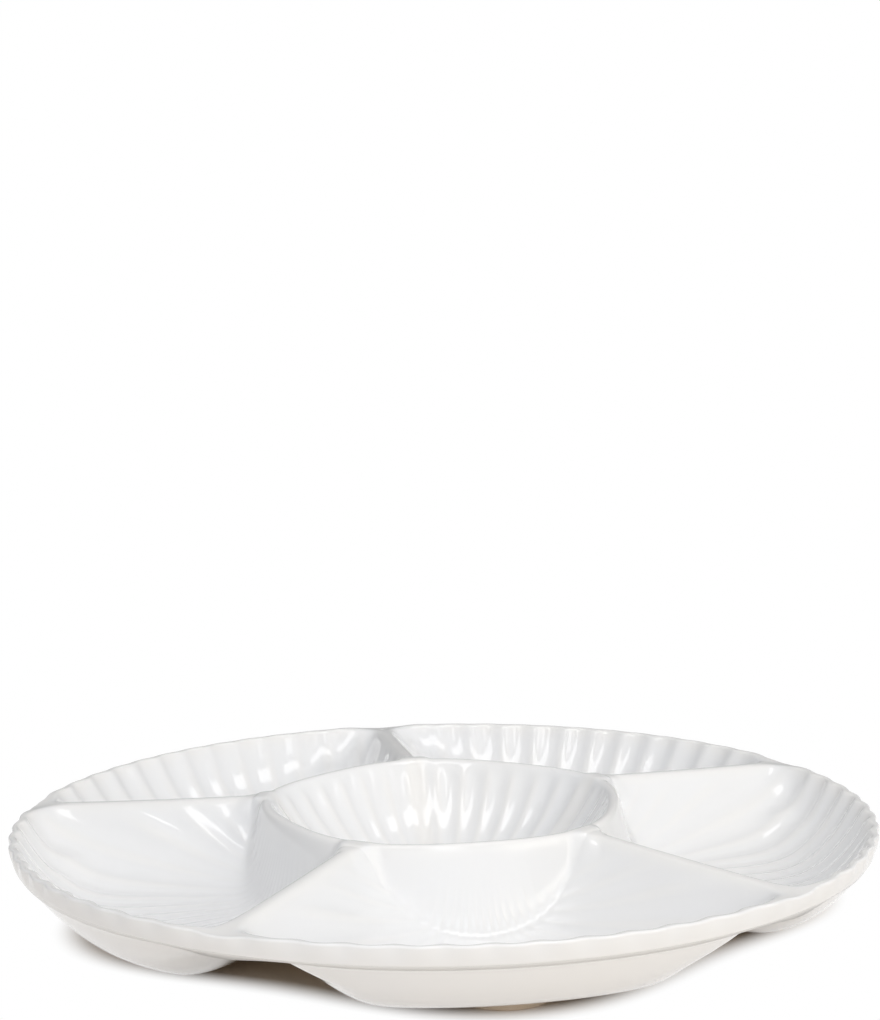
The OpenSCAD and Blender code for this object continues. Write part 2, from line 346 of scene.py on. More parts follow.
class TrayForm:
    """The tray's upper side and underside over its plan."""

    def __init__(self, sizes):
        self.sizes = sizes
        self.rim_r = sizes.tray_d / 2
        self.bowl_r = sizes.bowl_d / 2
        self.half = SECTOR / 2
        self.pole_r = self.bowl_r - sizes.fan_inset
        self.half_crest = sizes.crest_w / 2
        self.inner_r = self.bowl_r + self.half_crest
        self.lip_r = self.rim_r - sizes.lip_w
        self.floor_z = sizes.foot_h + sizes.floor_t
        self.end_psi = self.seen_from_pole(self.rim_r, self.half)
        self.flute_psi = 2 * self.end_psi / sizes.rim_flutes
        self.neck_psi = self.end_psi + self.flute_psi / NECK_PART
        corner = self.half - math.asin(self.half_crest / self.inner_r)
        self.corner_psi = self.seen_from_pole(self.inner_r, corner)

    def seen_from_pole(self, radius, theta):
        """Direction from the fan's pole to a point at a distance and an angle from the tray's middle."""
        return math.atan2(radius * math.sin(theta), radius * math.cos(theta) - self.pole_r)

    def beside_axis(self, x, y):
        """Points in the frame of the nearest well, whose axis is +X, and their distance from the middle."""
        theta = from_axis(np.arctan2(y, x))
        r = np.hypot(x, y)
        return r * np.cos(theta), r * np.sin(theta), r

    def from_ridge(self, along_axis, aside):
        """Distance from the middle line of the nearest divider."""
        return along_axis * math.sin(self.half) - np.abs(aside) * math.cos(self.half)

    def fan_wave(self, along_axis, aside):
        """The flutes of a well, which fan out from its pole."""
        psi = np.arctan2(aside, along_axis - self.pole_r)
        return flute_wave(2 * math.pi * psi / self.flute_psi)

    def crest_level(self, along_axis, aside, r):
        """Level of the crests, which fall from the bowl's rim to the outer rim."""
        s = self.sizes
        rise = np.clip((self.rim_r - r) / (self.rim_r - self.bowl_r), 0, 1) ** RIDGE_POWER
        along_ridge = along_axis * math.cos(self.half) + np.abs(aside) * math.sin(self.half)
        to_end = np.hypot(self.rim_r - along_ridge, self.from_ridge(along_axis, aside))
        return s.rim_h + s.bowl_rise * rise - s.end_dip * np.exp(-((to_end / s.end_dip_w) ** 2))

    def web(self, to_ridge, to_bowl):
        """How far the fillet between a divider and the bowl stands out from their walls."""
        web_r = self.sizes.web_r
        apart = np.clip((to_ridge - to_bowl) / web_r, -1, 1)
        near_joint = 1 - ease((to_ridge + to_bowl) / (2 * WEB_REACH))
        return WEB_SHARE * web_r * (1 - apart**2) ** 2 * near_joint

    def well_share(self, along_axis, aside, r, setback, grow, side):
        """Share of full depth in a well; grow widens the hollow for the underside."""
        s = self.sizes
        to_ridge = np.hypot(self.from_ridge(along_axis, aside), CREST_ROUND) - self.half_crest + grow
        to_bowl = r - self.inner_r + grow
        web = self.web(to_ridge, to_bowl)
        out = 1 - np.minimum(1, soft(self.rim_r - r - setback, side.lip_blend) / s.outer_wall_w)
        flank = 1 - np.minimum(1, soft(to_ridge - web, side.blend) / s.flank_w)
        nearer = (out**TIP_MEET + flank**TIP_MEET) ** (1 / TIP_MEET)
        near_crest = ease((nearer - 1 + TIP_SHARE) / TIP_SHARE)
        tightness = side.corner_power + (side.tip_power - side.corner_power) * near_crest
        corners = out ** (side.outer_power * tightness) + flank ** (FLANK_POWER * tightness)
        from_walls = 1 - corners ** (1 / tightness)
        from_bowl = hollow(soft(to_bowl - web, side.blend), s.inner_wall_w, INNER_POWER)
        depth = smooth_min(from_bowl, from_walls, CREASE_BLEND) / FULL_BLEND
        return np.minimum(1, soft(depth, SHARE_BLEND))

    def bowl_share(self, r, grow, side):
        """Share of full depth in the dip bowl."""
        distance = soft(self.bowl_r - self.half_crest - r + grow, side.blend)
        return hollow(distance, self.sizes.bowl_wall_w, BOWL_POWER)

    def hollowed(self, place, crest, floor, setback, grow, side):
        """Height between the crests and the floor, in the wells and in the bowl."""
        well = self.well_share(*place, setback, grow, side)
        bowl = self.bowl_share(place[-1], grow, side)
        drop = floor - crest
        return smooth_min(crest + drop * well, crest + drop * bowl, side.meet)

    def upper_height(self, x, y):
        """Height of the upper side without its flutes."""
        place = self.beside_axis(x, y)
        setback = self.sizes.lip_w + self.lip_wave(*place)
        return self.hollowed(place, self.crest_level(*place), self.floor_z, setback, 0, UPPER_SIDE)

    def under_height(self, x, y):
        """Height of the underside."""
        s = self.sizes
        place = self.beside_axis(x, y)
        r = place[-1]
        near_rim = np.clip((r - self.rim_r + BAND_BLEND) / (BAND_BLEND - s.band_step), 0, 1)
        edge = self.crest_level(*place) - s.crest_t - (s.band_h - s.crest_t) * near_rim
        base = s.foot_h - FLAT_PRESS
        lowest = self.hollowed(place, edge, base, s.band_step, s.wall_t, UNDERSIDE)
        beyond_foot = s.foot_h + FOOT_SLOPE * (r - s.foot_r - s.foot_d / 2 + FOOT_SET)
        return np.maximum(s.foot_h, -smooth_min(-lowest, -beyond_foot, FOOT_BLEND))

    def lip_wave(self, along_axis, aside, r):
        """How far the flutes' ridges push the lip's inner edge inwards; it fades down the wall."""
        beside_ridge = ease((self.from_ridge(along_axis, aside) - CORNER_W) / CORNER_FADE)
        near_lip = 1 - ease((self.lip_r - r) / LIP_FADE)
        wave = self.fan_wave(along_axis, aside)
        return self.sizes.lip_wave / 2 * wave * beside_ridge * near_lip

    def flutes(self, x, y):
        """Rise of the flutes from the mean surface, and how much of their ridges shows, from -1 to 1."""
        s = self.sizes
        along_axis, aside, r = self.beside_axis(x, y)
        reach = np.hypot(aside, along_axis - self.pole_r)
        beside_ridge = ease((self.from_ridge(along_axis, aside) - self.half_crest) / FLANK_FADE)
        beside_bowl = ease((r - self.inner_r) / BOWL_FADE)
        beside_lip = ease((self.lip_r - r) / LIP_FADE)
        past_pole = POLE_SHARE + (1 - POLE_SHARE) * ease((reach - POLE_CLEAR) / POLE_FADE)
        fade = beside_ridge * beside_bowl * beside_lip * past_pole
        wave = self.fan_wave(along_axis, aside) * fade
        in_well = wave * s.flute_depth / 2 * reach / (self.lip_r - self.pole_r)
        in_bowl_fade = ease((self.bowl_r - self.half_crest - r) / BOWL_FADE)
        bowl_wave = flute_wave(s.bowl_flutes * np.arctan2(y, x)) * in_bowl_fade
        in_bowl = bowl_wave * BOWL_FLUTE_SHARE * s.flute_depth / 2 * r / self.bowl_r
        inside = r < self.bowl_r
        return np.where(inside, in_bowl, in_well), np.where(inside, bowl_wave, wave)

    def base_normal(self, x, y):
        """Unit normal of the upper side without its flutes."""
        slope_x = (self.upper_height(x + PROBE, y) - self.upper_height(x - PROBE, y)) / (2 * PROBE)
        slope_y = (self.upper_height(x, y + PROBE) - self.upper_height(x, y - PROBE)) / (2 * PROBE)
        normal = np.stack([-slope_x, -slope_y, np.ones_like(slope_x)], -1)
        return normal / np.linalg.norm(normal, axis=-1, keepdims=True)

    def pinched(self, points):
        """Points drawn inwards between the dividers, most at the bowl's rim, which becomes five-sided."""
        along_axis, aside, r = self.beside_axis(points[..., 0], points[..., 1])
        inside = ease(r / self.bowl_r)
        outside = 1 - ease((r - self.bowl_r) / PINCH_REACH)
        near_rim = np.where(r < self.bowl_r, inside, outside)
        off_ridge = (1 + np.cos(WELL_COUNT * np.arctan2(aside, along_axis))) / 2
        pinch = self.sizes.bowl_pinch / self.bowl_r * off_ridge * near_rim
        return points * np.stack([1 - pinch, 1 - pinch, np.ones_like(pinch)], -1)

    def upper(self, x, y):
        """Points of the fluted upper side."""
        rise = self.flutes(x, y)[0]
        points = np.stack([x, y, self.upper_height(x, y)], -1)
        return self.pinched(points + rise[..., None] * self.base_normal(x, y))

    def under(self, x, y):
        """Points of the underside."""
        return self.pinched(np.stack([x, y, self.under_height(x, y)], -1))

    def thinness(self, x, y):
        """How thin the glaze lies on the upper side: most on crests and lips, some on the flutes' ridges."""
        along_axis, aside, r = self.beside_axis(x, y)
        to_ridge = self.from_ridge(along_axis, aside) - self.half_crest
        to_edge = np.minimum(np.minimum(to_ridge, np.abs(r - self.bowl_r)), self.lip_r - r)
        crest = np.exp(-((np.maximum(0, to_edge) / THIN_REACH) ** 2))
        ridge = np.clip(self.flutes(x, y)[1], 0, 1)
        return np.clip(THIN_CREST * crest + THIN_RIDGE * ridge * (1 - crest), 0, 1)

    def to_circle(self, psi, radius):
        """Distance from the fan's pole to a circle around the middle."""
        return np.sqrt(radius**2 - (self.pole_r * np.sin(psi)) ** 2) - self.pole_r * np.cos(psi)

    def outline_reach(self, psi):
        """Distance from the fan's pole to a well's outline: lip, divider's edge and a rounded corner."""
        past = np.maximum(np.abs(psi) - self.half, SMALL_ANGLE)
        to_divider = (self.pole_r * math.sin(self.half) - self.half_crest) / np.sin(past)
        to_lip = self.to_circle(psi, self.lip_r)
        return (to_lip**-OUTLINE_POWER + to_divider**-OUTLINE_POWER) ** (-1 / OUTLINE_POWER)

    def fan(self, psi, reach):
        """Plan points at a direction and distance from the fan's pole, in a well's own frame."""
        return np.stack([self.pole_r + reach * np.cos(psi), reach * np.sin(psi)], -1)

    def rim_columns(self):
        """Directions of the fan that meet the rim, from the axis to a divider's neck."""
        return np.linspace(0, self.neck_psi, RIM_COLUMNS)

    def ridge_columns(self):
        """Directions of the fan that meet a divider, from its neck to the well's inner corner."""
        return np.linspace(self.neck_psi, self.corner_psi, RIDGE_COLUMNS)

    def across_divider(self, psi, angle):
        """Plan points across a divider at that angle, from one well's outline to the other's."""
        edge = turned(self.fan(psi, self.outline_reach(psi)), -self.half)
        side = np.linspace(1, -1, ACROSS + 1)
        along = np.repeat(edge[:, :1], ACROSS + 1, axis=1)
        plan = np.stack([along, edge[:, 1:] * side], -1)
        return turned(plan, angle)


# Rows of points with their normals and the glaze's thinness; a zero normal is left to the mesh
Patch = namedtuple("Patch", "points normals thin")


def normals_of(surface, x, y):
    """Unit normals of a surface over the plan points x, y, on its upper side."""
    along_x = surface(x + PROBE, y) - surface(x - PROBE, y)
    along_y = surface(x, y + PROBE) - surface(x, y - PROBE)
    normal = np.cross(along_x, along_y)
    return normal / np.linalg.norm(normal, axis=-1, keepdims=True)


def upper_patch(form, plan):
    """The fluted upper side over plan points."""
    x, y = plan[..., 0], plan[..., 1]
    return Patch(form.upper(x, y), normals_of(form.upper, x, y), form.thinness(x, y))


def under_patch(form, plan):
    """The underside below plan points."""
    x, y = plan[..., 0], plan[..., 1]
    return Patch(form.under(x, y), -normals_of(form.under, x, y), np.full(x.shape, THIN_OUTSIDE))


def joined(patches, seams, closed=True):
    """Patches joined row by row, into closed loops if wanted; seams number the patches with a hidden end."""
    if closed:
        patches = [*patches, Patch(*(part[:, :1] for part in patches[0]))]
    points, normals, thin = (np.concatenate(parts, axis=1) for parts in zip(*patches))
    ends = np.cumsum([patch.points.shape[1] for patch in patches]) - 1
    hidden = np.zeros(points.shape[1] - 1, bool)
    hidden[ends[seams]] = True
    return points, normals, thin, hidden


def select_only(piece):
    """Leaves one object selected and active."""
    bpy.ops.object.select_all(action="DESELECT")
    piece.select_set(True)
    bpy.context.view_layer.objects.active = piece


def select_faces(mesh, wanted):
    """Goes to edit mode with only the wanted faces selected."""
    bpy.ops.object.mode_set(mode="EDIT")
    bpy.ops.mesh.select_mode(type="FACE")
    bpy.ops.mesh.select_all(action="DESELECT")
    bpy.ops.object.mode_set(mode="OBJECT")
    for face in mesh.polygons:
        face.select = wanted(face)
    bpy.ops.object.mode_set(mode="EDIT")


def shaped_grid(name, points, normals, thin, hidden):
    """A grid laid on columns of points, welded shut, with the surface's own normals on what shows."""
    columns, rows = points.shape[:2]
    bpy.ops.object.select_all(action="DESELECT")
    bpy.ops.mesh.primitive_grid_add(x_subdivisions=rows - 1, y_subdivisions=columns - 1, calc_uvs=False)
    piece = bpy.context.object
    piece.name = name
    mesh = piece.data
    mesh.name = name
    mesh.vertices.foreach_set("co", points.astype(np.float32).ravel())
    kept = mesh.attributes.new("true_normal", "FLOAT_VECTOR", "POINT")
    kept.data.foreach_set("vector", normals.astype(np.float32).ravel())
    glaze = mesh.attributes.new("thin_glaze", "FLOAT", "POINT")
    glaze.data.foreach_set("value", thin.astype(np.float32).ravel())
    seam = mesh.attributes.new("seam", "BOOLEAN", "FACE")
    seam.data.foreach_set("value", np.tile(hidden, columns - 1))
    bpy.ops.object.mode_set(mode="EDIT")
    bpy.ops.mesh.select_all(action="SELECT")
    bpy.ops.mesh.remove_doubles(threshold=MERGE)
    bpy.ops.mesh.fill_holes(sides=0)
    bpy.ops.mesh.normals_make_consistent(inside=False)
    bpy.ops.object.mode_set(mode="OBJECT")
    bpy.ops.object.shade_smooth()
    keep_true_normals(piece.data)
    return piece


def keep_true_normals(mesh):
    """Gives each shown face the surface's own normals, so that no joint shows in the gloss."""
    normals = np.zeros(len(mesh.vertices) * 3, np.float32)
    mesh.attributes["true_normal"].data.foreach_get("vector", normals)
    seam = np.zeros(len(mesh.polygons), bool)
    mesh.attributes["seam"].data.foreach_get("value", seam)
    corners = np.zeros(len(mesh.loops), np.int32)
    mesh.loops.foreach_get("vertex_index", corners)
    sides = np.zeros(len(mesh.polygons), np.int32)
    mesh.polygons.foreach_get("loop_total", sides)
    flat = seam | (sides > QUAD_SIDES)
    mesh.polygons.foreach_set("use_smooth", ~flat)
    wanted = normals.reshape(-1, 3)[corners]
    wanted[np.repeat(flat, sides)] = 0
    mesh.normals_split_custom_set(wanted)
    mesh.attributes.remove(mesh.attributes["true_normal"])
    mesh.attributes.remove(mesh.attributes["seam"])


class Wire:
    """A node's output that can be used in sums: each sum adds the Math node that it needs."""

    def __init__(self, recipe, socket):
        self.recipe = recipe
        self.socket = socket

    def maths(self, operation, first, second):
        """A Math node on two values."""
        return self.recipe.node("ShaderNodeMath", {"operation": operation}, {0: first, 1: second}, "Value")

    def __add__(self, other):
        return self.maths("ADD", self, other)

    def __radd__(self, other):
        return self.maths("ADD", other, self)

    def __sub__(self, other):
        return self.maths("SUBTRACT", self, other)

    def __rsub__(self, other):
        return self.maths("SUBTRACT", other, self)

    def __mul__(self, other):
        return self.maths("MULTIPLY", self, other)

    def __rmul__(self, other):
        return self.maths("MULTIPLY", other, self)

    def __pow__(self, other):
        return self.maths("POWER", self, other)

    def __rpow__(self, other):
        return self.maths("POWER", other, self)


class Recipe:
    """A node tree that is written node by node."""

    def __init__(self, owner):
        owner.use_nodes = True
        self.tree = owner.node_tree
        self.tree.nodes.clear()

    def node(self, kind, settings, sockets, output=None):
        """Adds a node: its settings first, then its sockets' values or links. Returns it or one output."""
        made = self.tree.nodes.new(kind)
        for key, value in settings.items():
            setattr(made, key, value)
        for key, value in sockets.items():
            if isinstance(value, Wire):
                self.tree.links.new(value.socket, made.inputs[key])
            else:
                made.inputs[key].default_value = value
        return made if output is None else self.outputs(made, output)[0]

    def outputs(self, made, *names):
        """Outputs of a node, for use in sums."""
        return [Wire(self, made.outputs[name]) for name in names]

    def noise(self, coordinates, grain):
        """Smooth noise from 0 to 1."""
        sockets = {
            "Vector": coordinates,
            "Scale": grain.scale,
            "Detail": grain.detail,
            "Roughness": grain.roughness,
        }
        return self.node("ShaderNodeTexNoise", {}, sockets, "Fac")

    def clamped(self, value):
        """A value held between 0 and 1."""
        return self.node("ShaderNodeClamp", {}, {"Value": value}, "Result")

    def step(self, value, start, end):
        """Rises smoothly from 0 to 1 as a value goes from start to end."""
        settings = {"interpolation_type": "SMOOTHSTEP"}
        sockets = {"Value": value, "From Min": start, "From Max": end}
        return self.node("ShaderNodeMapRange", settings, sockets, "Result")

    def blend(self, factor, first, second):
        """One colour turning into another."""
        sockets = {MIX_FACTOR: factor, MIX_FIRST: first, MIX_SECOND: second}
        return self.node("ShaderNodeMix", {"data_type": "RGBA"}, sockets, MIX_RESULT)

    def seen_by(self, *kinds):
        """1 for rays of the kinds named, 0 for others."""
        path = self.node("ShaderNodeLightPath", {}, {})
        return sum(self.outputs(path, *(f"Is {kind} Ray" for kind in kinds)))

    def surface(self, shader):
        """Ends a material with its shader."""
        self.node("ShaderNodeOutputMaterial", {}, {"Surface": shader})


def opaque(shade):
    """A colour with full alpha, as sockets want it."""
    return (*shade, 1.0)


def glaze_material(name, finish):
    """Glossy white glaze: cool where it pools, warm and thin on edges, ridges and the outside."""
    material = bpy.data.materials.new(name)
    recipe = Recipe(material)
    place = recipe.node("ShaderNodeTexCoord", {}, {}, "Object")
    thin = recipe.node("ShaderNodeAttribute", {"attribute_name": "thin_glaze"}, {}, "Fac")
    cloud = recipe.noise(place, GLAZE_CLOUD)
    mottle = recipe.noise(place, GLAZE_MOTTLE)
    warmth = recipe.clamped(thin * WARM_THIN + (cloud - CLOUD_LEVEL) * WARM_CLOUD)
    body = recipe.blend(warmth, opaque(finish.glaze_cool), opaque(finish.glaze_warm))
    bare = recipe.clamped(thin**EDGE_POWER * (mottle * EDGE_MOTTLE - EDGE_LEVEL))
    tint = recipe.blend(bare * EDGE_SHARE, body, opaque(finish.glaze_edge))
    relief = recipe.noise(place, GLAZE_RIPPLE) + recipe.noise(place, GLAZE_PEEL) * PEEL_SHARE
    sockets = {
        "Base Color": tint,
        "Roughness": mottle * GLAZE_UNEVEN + (finish.glaze_roughness - GLAZE_UNEVEN / 2),
        "IOR": GLAZE_IOR,
        "Normal": recipe.node("ShaderNodeBump", {}, {"Height": relief, **GLAZE_BUMP}, "Normal"),
    }
    recipe.surface(recipe.node("ShaderNodeBsdfPrincipled", {}, sockets, "BSDF"))
    return material


def clay_material(name, finish):
    """Bare fired clay: tan, matt and grainy."""
    material = bpy.data.materials.new(name)
    recipe = Recipe(material)
    place = recipe.node("ShaderNodeTexCoord", {}, {}, "Object")
    grain = recipe.noise(place, CLAY_GRAIN)
    stain = recipe.noise(place, CLAY_STAIN)
    mixed = recipe.clamped(grain * CLAY_GRAIN_SHARE + stain * CLAY_STAIN_SHARE - CLAY_LEVEL)
    sockets = {
        "Base Color": recipe.blend(mixed, opaque(finish.clay), opaque(finish.clay_dark)),
        "Roughness": grain * CLAY_UNEVEN + CLAY_ROUGHNESS,
        "Normal": recipe.node("ShaderNodeBump", {}, {"Height": grain, **CLAY_BUMP}, "Normal"),
    }
    recipe.surface(recipe.node("ShaderNodeBsdfPrincipled", {}, sockets, "BSDF"))
    return material


# Material and its maker for each slot
FINISHES = {"glaze": ("white_glaze", glaze_material), "bare_clay": ("fired_clay", clay_material)}


def finish_piece(piece, node, slot, finish):
    """Gives a piece its slot's material, made once and shared; hides its CAD node; attaches it to the root
    body.
    """
    name, maker = FINISHES[slot]
    material = bpy.data.materials.get(name) or maker(name, finish)
    piece.data.materials.clear()
    piece.data.materials.append(material)
    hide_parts(node)
    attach(piece, "root")


def copy_around(piece, index):
    """A copy of a piece, with its own mesh, turned to the place of another well."""
    select_only(piece)
    bpy.ops.object.duplicate(linked=False)
    copy = bpy.context.object
    copy.data.transform(Matrix.Rotation(index * SECTOR, 4, "Z"))
    return copy


def finish_ring(first, node, ending, slot, finish):
    """Copies the first of a ring of like pieces to the other wells' places, and finishes them all."""
    pieces = [first] + [copy_around(first, index) for index in range(1, WELL_COUNT)]
    for number, piece in enumerate(pieces, 1):
        piece.name = f"{node}_{number}_{ending}"
        finish_piece(piece, f"{node}_{number}", slot, finish)


class TRAY_OT_chip_wells(bpy.types.Operator):
    """Models the fluted, shell-shaped chip wells."""

    bl_idname = "tray.chip_wells"
    bl_label = "Chip wells"

    def execute(self, context):
        form = TrayForm(context.scene.tray_sizes)
        half_fan = np.concatenate([form.rim_columns(), form.ridge_columns()[1:]])
        psi = mirrored(half_fan)[:, None]
        inner = form.to_circle(psi, form.inner_r)
        outer = form.outline_reach(psi)
        upper_plan = turned(form.fan(psi, inner + (outer - inner) * spread(WELL_ROWS)), FIRST_TURN)
        under_plan = turned(form.fan(psi, outer + (inner - outer) * spread(UNDER_ROWS)), FIRST_TURN)
        loops = joined([upper_patch(form, upper_plan), under_patch(form, under_plan)], [0, 1])
        first = shaped_grid("chip_well_1_glazed", *loops)
        finish_ring(first, "chip_well", "glazed", "glaze", context.scene.tray_finish)
        return {"FINISHED"}


class TRAY_OT_dividers(bpy.types.Operator):
    """Models the divider ridges between the wells."""

    bl_idname = "tray.dividers"
    bl_label = "Dividers"

    def execute(self, context):
        form = TrayForm(context.scene.tray_sizes)
        plan = form.across_divider(form.ridge_columns(), 0)
        plan[-1, :, 0] = np.sqrt(form.inner_r**2 - plan[-1, :, 1] ** 2)
        plan = turned(plan, FIRST_TURN + form.half)
        loops = joined([upper_patch(form, plan), under_patch(form, plan[:, ::-1])], [0, 1])
        first = shaped_grid("divider_1_glazed", *loops)
        finish_ring(first, "divider", "glazed", "glaze", context.scene.tray_finish)
        return {"FINISHED"}


class TRAY_OT_dip_bowl(bpy.types.Operator):
    """Models the fluted dip bowl with its raised rim."""

    bl_idname = "tray.dip_bowl"
    bl_label = "Dip bowl"

    def execute(self, context):
        form = TrayForm(context.scene.tray_sizes)
        columns = context.scene.tray_sizes.bowl_flutes * BOWL_COLUMNS_PER_FLUTE
        theta = np.linspace(0, 2 * math.pi, columns + 1)[:, None]
        outwards = form.inner_r * np.sin(np.linspace(0, math.pi / 2, BOWL_ROWS + 1))
        inwards = form.inner_r * np.sin(np.linspace(math.pi / 2, 0, UNDER_ROWS + 1))
        upper = upper_patch(form, around_middle(theta, outwards))
        under = under_patch(form, around_middle(theta, inwards))
        bowl = shaped_grid("dip_bowl_glazed", *joined([upper, under], [0], closed=False))
        finish_piece(bowl, "dip_bowl", "glaze", context.scene.tray_finish)
        return {"FINISHED"}


def rim_plan(form):
    """Plan points where the rim meets the wells and dividers, and the angle of the outer edge beside each."""
    psi = form.rim_columns()
    edge = form.fan(psi, form.to_circle(psi, form.rim_r))
    theta = np.arctan2(edge[:, 1], edge[:, 0])
    close = form.half - GATHER_TURN
    squeeze = (theta - close) / (theta[-1] - close)
    theta = np.where(theta <= close, theta, close + (form.half - NECK_TURN - close) * squeeze)
    psi = mirrored(psi)
    outline = form.fan(psi, form.outline_reach(psi))
    neck = form.across_divider(form.ridge_columns()[:1], form.half)[0, 1:-1]
    neck_theta = form.half + np.linspace(-NECK_TURN, NECK_TURN, ACROSS + 1)[1:-1]
    one_outline = np.concatenate([outline, neck])
    one_theta = np.concatenate([mirrored(theta), neck_theta])
    turns = [FIRST_TURN + index * SECTOR for index in range(WELL_COUNT)]
    outlines = np.concatenate([turned(one_outline, turn) for turn in turns])
    angles = np.concatenate([one_theta + turn for turn in turns])
    return np.concatenate([outlines, outlines[:1]]), np.concatenate([angles, angles[:1] + 2 * math.pi])


def edge_radius(form, theta):
    """Radius of the rim's outer edge: each flute pushes it out a little, and it is even beside a divider."""
    local = from_axis(theta)
    wave = form.fan_wave(form.rim_r * np.cos(local), form.rim_r * np.sin(local))
    beside_ridge = ease((form.half - np.abs(local)) * form.rim_r / FLANK_FADE)
    return form.rim_r - form.sizes.rim_wave * wave * beside_ridge


def band_patch(form, out, edge, lip_z):
    """The rim's outside from the lip down: its rounded edge, the leaning band and the band's rounded foot."""
    sizes = form.sizes
    foot_z = sizes.rim_h - sizes.band_h
    band_z = lip_z - sizes.lip_round
    lip_turn = np.linspace(0, math.pi / 2, LIP_ROWS + 1)[1:]
    fall = np.linspace(0, 1, BAND_ROWS + 1)[1:]
    foot_turn = np.linspace(0, math.pi / 2, BAND_ROUND_ROWS + 1)[1:]
    all_around = np.zeros_like(edge)
    radii = [
        edge + sizes.lip_round * (np.sin(lip_turn) - 1),
        edge + (form.rim_r - edge) * fall - sizes.band_lean * fall**2,
        form.rim_r - sizes.band_lean + BAND_ROUND * (np.cos(foot_turn) - 1) + all_around,
    ]
    heights = [
        lip_z - sizes.lip_round * (1 - np.cos(lip_turn)),
        band_z + (foot_z + BAND_ROUND - band_z) * fall,
        foot_z + BAND_ROUND * (1 - np.sin(foot_turn)) + all_around,
    ]
    plan = out[:, None] * np.concatenate(radii, axis=1)[..., None]
    points = np.concatenate([plan, np.concatenate(heights, axis=1)[..., None]], -1)
    return Patch(points, np.zeros_like(points), np.full(points.shape[:-1], THIN_OUTSIDE))


class TRAY_OT_outer_rim(bpy.types.Operator):
    """Models the outer rim: the lip, the smooth band and the corner lands."""

    bl_idname = "tray.outer_rim"
    bl_label = "Outer rim"

    def execute(self, context):
        sizes = context.scene.tray_sizes
        form = TrayForm(sizes)
        outline, theta = rim_plan(form)
        out = around_middle(theta, 1)
        edge = edge_radius(form, theta)[:, None]
        land_end = out * (edge - sizes.lip_round)
        land = upper_patch(form, between(outline, land_end, spread(LAND_ROWS)))
        band = band_patch(form, out, edge, land.points[:, -1, 2:])
        wall = out * (form.rim_r - sizes.band_step - PROBE)
        under = under_patch(form, between(wall, outline, np.linspace(0, 1, RIM_UNDER_ROWS)))
        rim = shaped_grid("outer_rim_glazed", *joined([land, band, under], [2]))
        finish_piece(rim, "outer_rim", "glaze", context.scene.tray_finish)
        return {"FINISHED"}


class TRAY_OT_foot_pads(bpy.types.Operator):
    """Models the bare clay feet."""

    bl_idname = "tray.foot_pads"
    bl_label = "Feet"

    # A face whose normal is lower than this looks down, or straight down
    downward = -0.5
    straight_down = -0.99

    def execute(self, context):
        sizes = context.scene.tray_sizes
        x, y = around_middle(FIRST_TURN, sizes.foot_r)
        bpy.ops.object.select_all(action="DESELECT")
        bpy.ops.mesh.primitive_cylinder_add(
            vertices=FOOT_SIDES,
            radius=sizes.foot_d / 2,
            depth=sizes.foot_h,
            location=(x, y, sizes.foot_h / 2),
        )
        bpy.ops.object.transform_apply(location=True, rotation=True, scale=True)
        first = bpy.context.object
        select_faces(first.data, lambda face: face.normal.z < self.downward)
        bpy.ops.mesh.bevel(offset=FOOT_ROUND, segments=FOOT_ROUND_ROWS, affect="EDGES")
        select_faces(first.data, self.is_bottom)
        bpy.ops.mesh.inset(thickness=FOOT_RING_W, depth=0)
        bpy.ops.mesh.inset(thickness=FOOT_RING_W / 2, depth=-FOOT_DISH)
        bpy.ops.object.mode_set(mode="OBJECT")
        form = TrayForm(sizes)
        for vertex in first.data.vertices:
            if vertex.co.z > sizes.foot_h - MERGE:
                vertex.co.z = float(form.under_height(vertex.co.x, vertex.co.y))
        bpy.ops.object.shade_smooth_by_angle(angle=FOOT_SMOOTH)
        finish_ring(first, "foot_pad", "clay", "bare_clay", context.scene.tray_finish)
        return {"FINISHED"}

    def is_bottom(self, face):
        """Tells the flat round face that stands on the table."""
        return face.normal.z < self.straight_down and len(face.vertices) == FOOT_SIDES


# A soft panel: degrees right of the camera and up, distance and size in metres, roll in degrees and colour
Panel = namedtuple("Panel", "aside up distance size roll shade")


